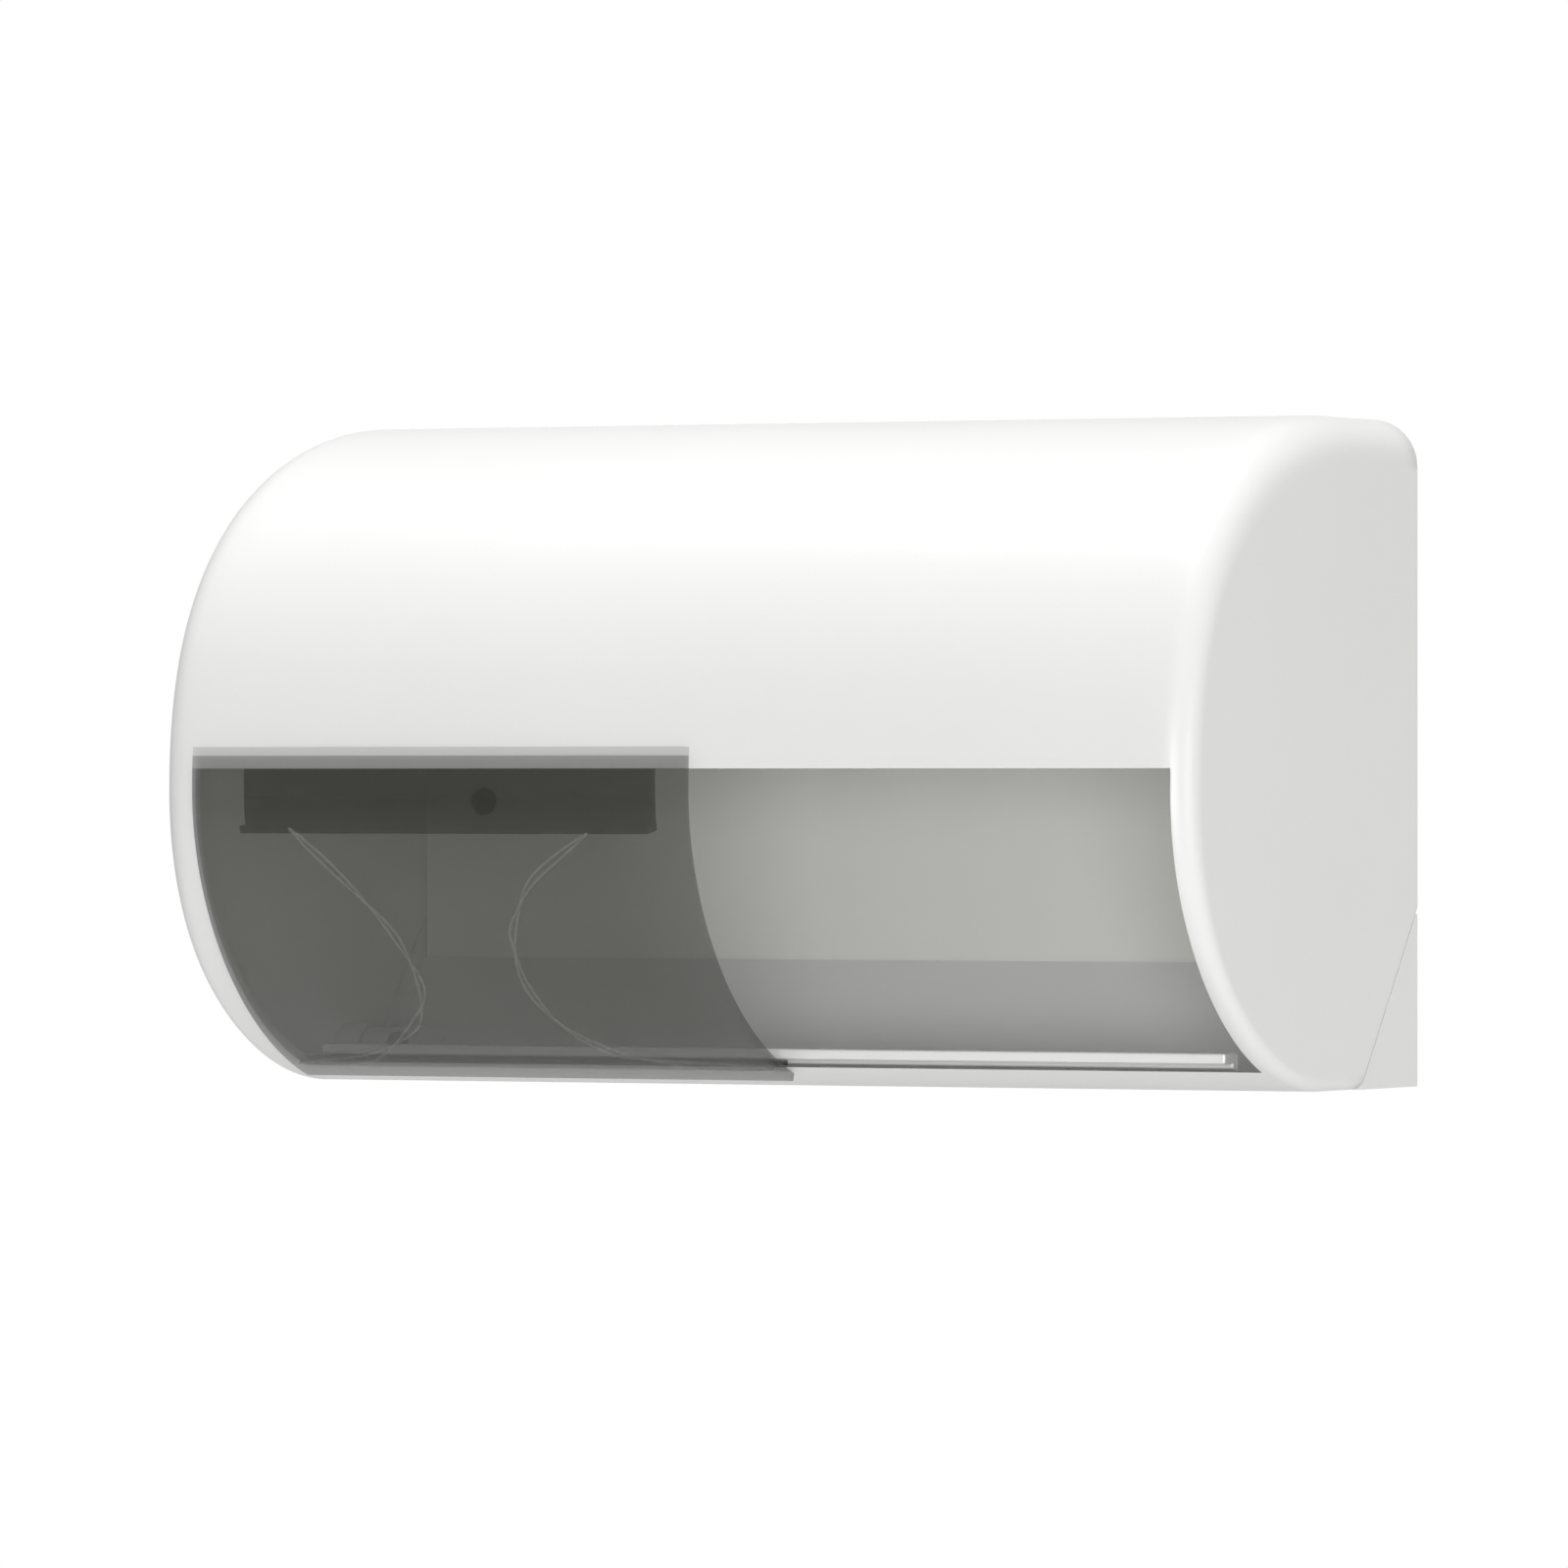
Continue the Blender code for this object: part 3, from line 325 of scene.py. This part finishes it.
def makeHood():
    rows = hoodRows()
    rounding, flats = hood["roundColumns"], hood["flatColumns"]
    columns = rounding * 2 + flats
    deselectAll()
    bpy.ops.mesh.primitive_grid_add(x_subdivisions=columns, y_subdivisions=len(rows) - 1, size=1)
    skin = bpy.context.object
    half = hood["width"] / 2
    for vertex in skin.data.vertices:
        column = round((vertex.co.x + 0.5) * columns)
        number = round((0.5 - vertex.co.y) * (len(rows) - 1))
        point, normal, width = rows[number]
        side = -1 if column < columns / 2 else 1
        fromEnd = min(column, columns - column)
        if fromEnd <= rounding:
            turn = fromEnd / rounding * pi / 2
            at = point - normal * width * (1 - sin(turn))
            x = side * (half - width * (1 - cos(turn)))
        else:
            at = point
            x = -half + width + (2 * half - 2 * width) * (column - rounding) / flats
        if number == len(rows) - 1:
            at = Vector((seamDepth(at.y), at.y))
        vertex.co = (x, at.x, at.y + groundLine)
    # each end is closed with one face: a vertex is drawn out to the heel of the slope first
    heel = outline["seamTop"] * (1 + outline["seamGap"] / outline["seamTop"]) + groundLine
    for side in (-1, 1):
        topCorner = max((v for v in skin.data.vertices if v.co.x * side > half - 1e-6 and v.co.y > -1e-6),
                        key=lambda v: v.co.z).co.copy()
        inEditMode(skin, lambda v: (v.co - topCorner).length < 1e-6)
        bpy.ops.mesh.extrude_region_move(TRANSFORM_OT_translate={"value": (0, 0, heel - topCorner.z)})
        leaveEditMode()
        inEditMode(skin, lambda v: v.co.x * side > half - 1e-6)
        bpy.ops.mesh.edge_face_add()
        bpy.ops.mesh.inset(thickness=hood["endInset"], depth=0)
        leaveEditMode()
    inEditMode(skin, lambda v: True)
    bpy.ops.mesh.remove_doubles(threshold=1e-6)
    bpy.ops.mesh.normals_make_consistent(inside=False)
    leaveEditMode()
    # an open shell's outside is settled by looking at the top
    if sum(face.normal.z for face in skin.data.polygons if face.center.z > 0.068) < 0:
        inEditMode(skin, lambda v: True)
        bpy.ops.mesh.flip_normals()
        leaveEditMode()
    addModifier(skin, "SOLIDIFY", thickness=hood["wall"], offset=-1, use_even_offset=True)
    cutAway(skin, boxCutter((hood["openingLeft"] - half, -0.16, hood["openingFoot"] + groundLine),
                            (half - hood["openingRight"], -outline["underFlat"],
                             hood["openingTop"] + groundLine)))
    inner = half - hood["wall"] - hood["bossLength"] - hood["ease"]
    for side in (-1, 1):
        edges = sorted((side * (inner + hood["ease"]), side * (inner - hood["earWidth"] - hood["ease"])))
        cutAway(skin, boxCutter((edges[0], -hood["hingeDepth"] - 0.010, groundLine - 0.001),
                                (edges[1], -outline["seamFoot"] + 0.004, groundLine + hood["wall"] + 0.001)))
    deselectAll()
    bpy.ops.mesh.primitive_cylinder_add(vertices=48, radius=hood["lockHole"], depth=0.01,
                                        location=(0, -hood["lockDepth"], outline["height"] + groundLine))
    cutAway(skin, bpy.context.object)
    deselectAll()
    bpy.ops.mesh.primitive_cylinder_add(vertices=64, radius=hood["lockSeat"], depth=hood["seatDepth"] * 2,
                                        location=(0, -hood["lockDepth"], outline["height"] + groundLine))
    cutAway(skin, bpy.context.object)
    addModifier(skin, "BEVEL", width=hood["edge"], segments=2, limit_method="ANGLE", angle_limit=radians(42))
    bosses = []
    for side in (-1, 1):
        start = half - hood["wall"] - hood["bossLength"]
        deselectAll()
        bpy.ops.mesh.primitive_cylinder_add(vertices=40, radius=hood["bossRadius"],
            depth=hood["bossLength"] + hood["wall"] / 2, rotation=(0, pi / 2, 0),
            location=(side * (start + (hood["bossLength"] + hood["wall"] / 2) / 2), -hood["hingeDepth"],
                      hood["hingeHeight"] + groundLine))
        boss = bpy.context.object
        settle(boss)
        inEditMode(boss, lambda f: f.normal.x * side < -0.9, "FACE")
        bpy.ops.mesh.inset(thickness=hood["bossRadius"] - hood["pinHole"], depth=0)
        bpy.ops.mesh.extrude_region_move(TRANSFORM_OT_translate={"value": (side * hood["bossLength"], 0, 0)})
        leaveEditMode()
        addModifier(boss, "BEVEL", width=hood["bossEdge"], segments=2, limit_method="ANGLE", angle_limit=radians(50))
        bosses.append(boss)
    joinInto(skin, bosses)
    return finishPiece(skin, "hoodSkin", whiteAbs, "hood", ["hood_shell"])


makeHood()
print("hood made")


# the sliding shutter: its place at rest, its lip, the band of painted light below the lip, and the raised beads
shutter = {"left": -0.1292, "right": 0.0073, "top": 0.0842, "foot": 0.0040, "gap": 0.0004, "wall": 0.002,
           "rows": 60, "columns": 48, "rowSnap": 0.0004, "lipFoot": 0.0821, "paintedLightBandFoot": 0.0790, "edge": 0.0005,
           "beadRadius": 0.0004, "beadSink": 0.0002, "beadLift": 0.0018, "beadClear": 0.0005,
           "strandSteps": 70, "strandSwing": 0.0008, "strandTurns": 2.5}
# the two waisted beads, as across and up on the panel's face, in millimetres
leftBead = [(-102.4, 62.9), (-90.4, 52.0), (-80.5, 40.5), (-77.0, 32.5), (-76.6, 24.8), (-80.5, 18.6),
            (-88.5, 13.0), (-104.5, 7.0), (-127.0, 5.2)]
rightBead = [(-19.7, 61.9), (-36.2, 51.0), (-43.7, 41.3), (-46.2, 35.2), (-46.8, 24.2), (-42.0, 14.6),
             (-32.1, 8.4), (-12.9, 5.9), (6.0, 5.2)]


def alongBead(places, share):
    # a smooth curve through the places, share running 0 to 1 along it
    spot = share * (len(places) - 1)
    number = min(int(spot), len(places) - 2)
    t = spot - number
    a, b, c, d = (Vector(places[min(max(number + k, 0), len(places) - 1)]) for k in (-1, 0, 1, 2))
    bend = 2 * a - 5 * b + 4 * c - d
    twist = 3 * b - a - 3 * c + d
    return 0.5 * (2 * b + (c - a) * t + bend * t * t + twist * t ** 3)


def makeStrand(places, phase):
    # one of the two strands that weave about a bead's line, half a turn apart
    steps = shutter["strandSteps"]
    points = []
    for step in range(steps + 1):
        share = step / steps
        here = alongBead(places, share)
        ahead = alongBead(places, min(share + 0.01, 1)) - alongBead(places, max(share - 0.01, 0))
        sideways = Vector((-ahead.y, ahead.x)).normalized()
        swing = shutter["strandSwing"] * sin(2 * pi * shutter["strandTurns"] * share + phase)
        spot = here + sideways * swing * 1000
        at = skinAt(max(spot.y / 1000 + shutter["beadLift"], shutter["foot"] + shutter["beadClear"]),
                    shutter["gap"] + shutter["wall"] - shutter["beadSink"])
        points.append((spot.x / 1000, at.x, at.y + groundLine))
    spline = bpy.data.curves.new("strandLine", "CURVE")
    spline.dimensions = "3D"
    spline.bevel_depth = shutter["beadRadius"]
    spline.bevel_resolution = 2
    line = spline.splines.new("POLY")
    line.points.add(len(points) - 1)
    for point, place in zip(line.points, points):
        point.co = place + (1.0,)
    strand = bpy.data.objects.new("strand", spline)
    bpy.context.collection.objects.link(strand)
    activate(strand)
    bpy.ops.object.convert(target="MESH")
    strand = bpy.context.object
    # the strands take the light grey bead material, a painted highlight
    strand.data.materials.append(beadPaintedHighlight)
    return strand


def makeShutter():
    deselectAll()
    bpy.ops.mesh.primitive_grid_add(x_subdivisions=shutter["columns"], y_subdivisions=shutter["rows"], size=1)
    panel = bpy.context.object
    span = shutter["right"] - shutter["left"]
    for vertex in panel.data.vertices:
        share = 0.5 - vertex.co.y
        height = shutter["top"] + (shutter["foot"] - shutter["top"]) * (1 - cos(pi * share)) / 2
        for mark in ("lipFoot", "paintedLightBandFoot"):      # a row of the grid lies on the lip's foot and on the foot of the band of painted light
            if abs(height - shutter[mark]) < shutter["rowSnap"]:
                height = shutter[mark]
        at = skinAt(height, shutter["gap"] + shutter["wall"])
        vertex.co = (shutter["left"] + span * (vertex.co.x + 0.5), at.x, at.y + groundLine)
    if sum(face.normal.y for face in panel.data.polygons) > 0:
        inEditMode(panel, lambda v: True)
        bpy.ops.mesh.flip_normals()
        leaveEditMode()
    addModifier(panel, "SOLIDIFY", thickness=shutter["wall"], offset=-1, use_even_offset=True)
    addModifier(panel, "BEVEL", width=shutter["edge"], segments=3, limit_method="ANGLE", angle_limit=radians(50))
    panel.data.materials.append(smokeSheet)
    panel.data.materials.append(smokeLip)
    panel.data.materials.append(smokeBandPaintedLight)
    # the lip gets the thin material; the band below it gets the clearer one, which is painted light
    for face in panel.data.polygons:
        height = face.center.z - groundLine
        face.material_index = 1 if height > shutter["lipFoot"] else 2 if height > shutter["paintedLightBandFoot"] else 0
    beads = []
    for places in (leftBead, rightBead):
        for phase in (0, pi):
            beads.append(makeStrand(places, phase))
    joinInto(panel, beads)
    return finishPiece(panel, "shutterSheet", None, "shutter", ["shutter_panel"])


makeShutter()
print("shutter made")


# the roll spindles, each turned round the axle from one section
spindle = {"depth": 0.068, "height": 0.101, "start": 0.0056, "end": 0.1096, "radius": 0.017, "bore": 0.0146,
           "flange": 0.020, "bead": 0.0009, "seat": 0.0061, "hub": 0.0196, "web": 0.0081,
           "flutes": 24, "fluteDepth": 0.00045, "soft": 0.0004}


def makeSpindle(name, side):
    outer, inner, first, last, soft = (spindle[k] for k in ("radius", "bore", "start", "end", "soft"))
    # the section from the free end along the outside, round the flange and back up the bore
    section = [(last - soft, inner), (last, inner + soft), (last, outer - soft), (last - soft, outer),
               (last - 0.006, outer), (last - 0.0071, outer + spindle["bead"] * 0.7),
               (last - 0.008, outer + spindle["bead"]), (last - 0.0089, outer + spindle["bead"] * 0.7),
               (last - 0.010, outer), (last - 0.012, outer), (last - 0.0135, outer), (first + 0.0075, outer),
               (first + 0.006, outer), (first + 0.0034, outer), (first + 0.0026, outer + 0.0006),
               (first + 0.0018, spindle["flange"] - soft), (first + 0.0014, spindle["flange"]),
               (first + soft, spindle["flange"]), (first, spindle["flange"] - soft), (first, spindle["seat"] + soft),
               (first + soft, spindle["seat"]), (spindle["hub"] - soft, spindle["seat"]),
               (spindle["hub"], spindle["seat"] + soft), (spindle["hub"], spindle["seat"] + 0.0016),
               (spindle["hub"] - soft, spindle["seat"] + 0.002), (spindle["web"] + soft, spindle["seat"] + 0.002),
               (spindle["web"], spindle["seat"] + 0.0024), (spindle["web"], inner - soft),
               (spindle["web"] + soft, inner), (last - soft, inner)]
    fluted = range(10, 12)
    around = spindle["flutes"] * 6
    deselectAll()
    bpy.ops.mesh.primitive_grid_add(x_subdivisions=around, y_subdivisions=len(section) - 1, size=1)
    tube = bpy.context.object
    for vertex in tube.data.vertices:
        column = round((vertex.co.x + 0.5) * around)
        number = round((0.5 - vertex.co.y) * (len(section) - 1))
        x, radius = section[number]
        if number in fluted:
            radius -= spindle["fluteDepth"] * (0, 0, 1, 1, 1, 0)[column % 6]
        turn = 2 * pi * (column % around) / around
        vertex.co = (side * x, -spindle["depth"] + radius * cos(turn),
                     spindle["height"] + groundLine + radius * sin(turn))
    inEditMode(tube, lambda v: True)
    bpy.ops.mesh.remove_doubles(threshold=1e-6)
    bpy.ops.mesh.normals_make_consistent(inside=False)
    leaveEditMode()
    return finishPiece(tube, "fluted_" + name, greyAcetal, name.replace("spindle_", "") + "_spindle",
                       [name], 38)


makeSpindle("spindle_left", -1)
makeSpindle("spindle_right", 1)
print("spindles made")


# screws, each with a cross recess cut into the head
recess = {"length": 0.0034, "width": 0.0008, "depth": 0.0009}
crossScrews = [("bracket_screw_left", "y", -1, "base"), ("bracket_screw_right", "y", -1, "base"),
               ("strike_screw_1", "y", -1, "base"), ("strike_screw_2", "y", -1, "base"),
               ("base_screw_left", "y", 1, "base"), ("base_screw_right", "y", 1, "base"),
               ("cam_screw", "z", -1, "lock")]


def makeCrossScrew(name, axis, way, body):
    low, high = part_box(name)
    screw = nodes[name].copy()
    screw.data = nodes[name].data.copy()
    bpy.context.collection.objects.link(screw)
    screw.parent = None
    inEditMode(screw, lambda v: True)
    bpy.ops.mesh.remove_doubles(threshold=1e-6)
    leaveEditMode()
    along = "xyz".index(axis)
    face = (high if way > 0 else low)[along]
    middle = [(a + b) / 2 for a, b in zip(low, high)]
    across = [k for k in range(3) if k != along]
    for long, short in (across, reversed(across)):
        size = [0, 0, 0]
        size[long], size[short], size[along] = recess["length"] / 2, recess["width"] / 2, recess["depth"]
        at = list(middle)
        at[along] = face
        cutAway(screw, boxCutter([a - b for a, b in zip(at, size)], [a + b for a, b in zip(at, size)]))
    return finishPiece(screw, "cross_" + name, zincSteel, body, [name], 30)


for crossScrew in crossScrews:
    makeCrossScrew(*crossScrew)
print("screws made")


# room, light and camera
room = {"floorDrop": 0.40, "floorSize": 14.0, "world": 0.46, "topPower": 31, "frontPower": 30, "sidePower": 10,
        "lowPower": 14, "lens": 264.4, "viewPlace": (1.25435, -2.64429, 0.07522 + groundLine), "viewTurn": 26,
        "lightsAimAt": (0, -0.07, -0.01)}


def makeRoom():
    deselectAll()
    bpy.ops.mesh.primitive_plane_add(size=room["floorSize"], location=(0, 0, -room["floorDrop"]))
    floor = bpy.context.object
    floor.name = "paleFloor"
    paint = startMaterial("paleFloorPaint")
    surface = addNode(paint, "ShaderNodeBsdfPrincipled", inputs={"Base Color": linearColour("D8D8D8"),
                      "Roughness": 0.8})
    glow = addNode(paint, "ShaderNodeEmission", inputs={"Color": linearColour("FFFFFF"), "Strength": 1.0})
    ray = addNode(paint, "ShaderNodeLightPath")
    either = addNode(paint, "ShaderNodeMixShader", links={0: (ray, "Is Camera Ray"), 1: (surface, "BSDF"),
                     2: (glow, "Emission")})
    addNode(paint, "ShaderNodeOutputMaterial", links={"Surface": (either, "Shader")})
    floor.data.materials.append(paint)
    world = bpy.data.worlds.new("softStudio")
    world.use_nodes = True
    bpy.context.scene.world = world
    world.node_tree.nodes.clear()
    white = (1, 1, 1, 1)
    path = addNode(world, "ShaderNodeLightPath")
    lit = addNode(world, "ShaderNodeBackground", inputs={"Color": white, "Strength": room["world"]})
    seen = addNode(world, "ShaderNodeBackground", inputs={"Color": white, "Strength": 1.0})
    either = addNode(world, "ShaderNodeMixShader", links={0: (path, "Is Camera Ray"), 1: (lit, "Background"),
                     2: (seen, "Background")})
    addNode(world, "ShaderNodeOutputWorld", links={"Surface": (either, "Shader")})


def addLight(name, place, size, power):
    lamp = bpy.data.lights.new(name, "AREA")
    lamp.shape = "DISK"
    lamp.size = size
    lamp.energy = power
    light = bpy.data.objects.new(name, lamp)
    bpy.context.collection.objects.link(light)
    light.location = place
    aim = Vector(room["lightsAimAt"]) - Vector(place)
    light.rotation_euler = aim.to_track_quat("-Z", "Y").to_euler()


makeRoom()
addLight("topLight", (-0.25, 0.15, 2.0), 1.2, room["topPower"])
addLight("frontLight", (1.05, -2.35, -0.22), 1.0, room["frontPower"])
addLight("sideLight", (2.3, -0.5, -0.1), 1.2, room["sidePower"])
addLight("lowLight", (0.6, -1.5, -1.1), 1.0, room["lowPower"])
camera = bpy.data.cameras.new("camera")
camera.lens = room["lens"]
camera.dof.use_dof = False
view = bpy.data.objects.new("camera", camera)
view.location = room["viewPlace"]
view.rotation_euler = (radians(90), 0, radians(room["viewTurn"]))
bpy.context.collection.objects.link(view)
bpy.context.scene.camera = view
bpy.context.scene.view_settings.view_transform = "Standard"
print("room, light and camera set")
